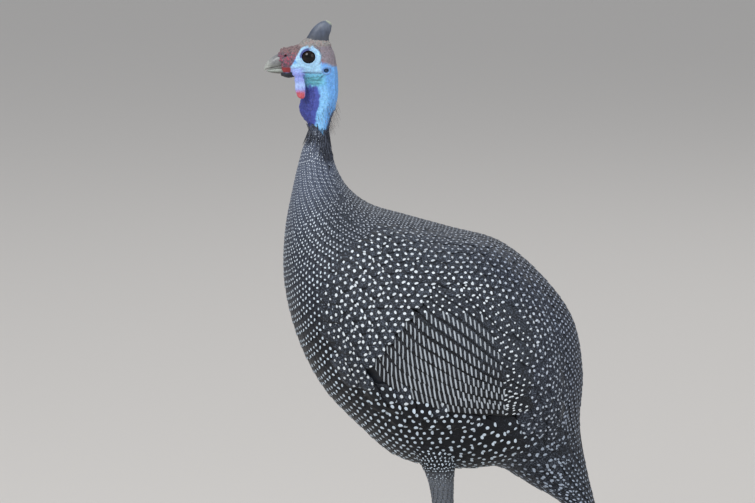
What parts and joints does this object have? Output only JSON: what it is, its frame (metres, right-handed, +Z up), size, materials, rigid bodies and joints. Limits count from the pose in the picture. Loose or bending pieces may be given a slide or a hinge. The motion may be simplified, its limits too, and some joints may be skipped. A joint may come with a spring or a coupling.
{
  "type": "helmeted guineafowl",
  "caption": "Life-size still model of a helmeted guineafowl standing upright and alert, with a spotted round body, bare blue neck, horn helmet, wattles and a drooped tail.",
  "frame": {"origin": "on the floor under the middle of the bird's box", "axes": "+Z up, the bill points to -X, the bird's left side faces -Y"},
  "size_m": [0.268, 0.1582, 0.4726],
  "materials": {
    "plumage": "dark slate feathers with small white spots",
    "leg_down": "short grey speckled feathers",
    "bare_skin": "bare sky-blue skin, matt and finely wrinkled",
    "wattle_skin": "soft lavender skin with a red tip",
    "helmet_horn": "grey-brown horn, matt and slightly ridged",
    "bill_horn": "pale grey horn, satin",
    "eye": "dark brown eye, wet gloss",
    "leg_scales": "dark grey scaly skin",
    "claw_horn": "dark horn, satin"
  },
  "bodies": {
    "root": {"head": "bare_skin", "helmet": "helmet_horn", "bill_upper": "bill_horn", "bill_lower": "bill_horn", "eye_left": "eye", "eye_right": "eye", "wattle_left": "wattle_skin", "wattle_right": "wattle_skin", "neck_upper": "bare_skin", "neck": "plumage", "trunk": "plumage", "tail": "plumage", "wing_left": "plumage", "wing_right": "plumage", "thigh_left": "leg_down", "thigh_right": "leg_down", "shank_left": "leg_scales", "shank_right": "leg_scales", "toe_middle_left": "leg_scales", "toe_middle_right": "leg_scales", "toe_inner_left": "leg_scales", "toe_inner_right": "leg_scales", "toe_outer_left": "leg_scales", "toe_outer_right": "leg_scales", "toe_hind_left": "leg_scales", "toe_hind_right": "leg_scales", "claw_middle_left": "claw_horn", "claw_middle_right": "claw_horn", "claw_inner_left": "claw_horn", "claw_inner_right": "claw_horn", "claw_outer_left": "claw_horn", "claw_outer_right": "claw_horn", "claw_hind_left": "claw_horn", "claw_hind_right": "claw_horn"}
  },
  "joints": []
}
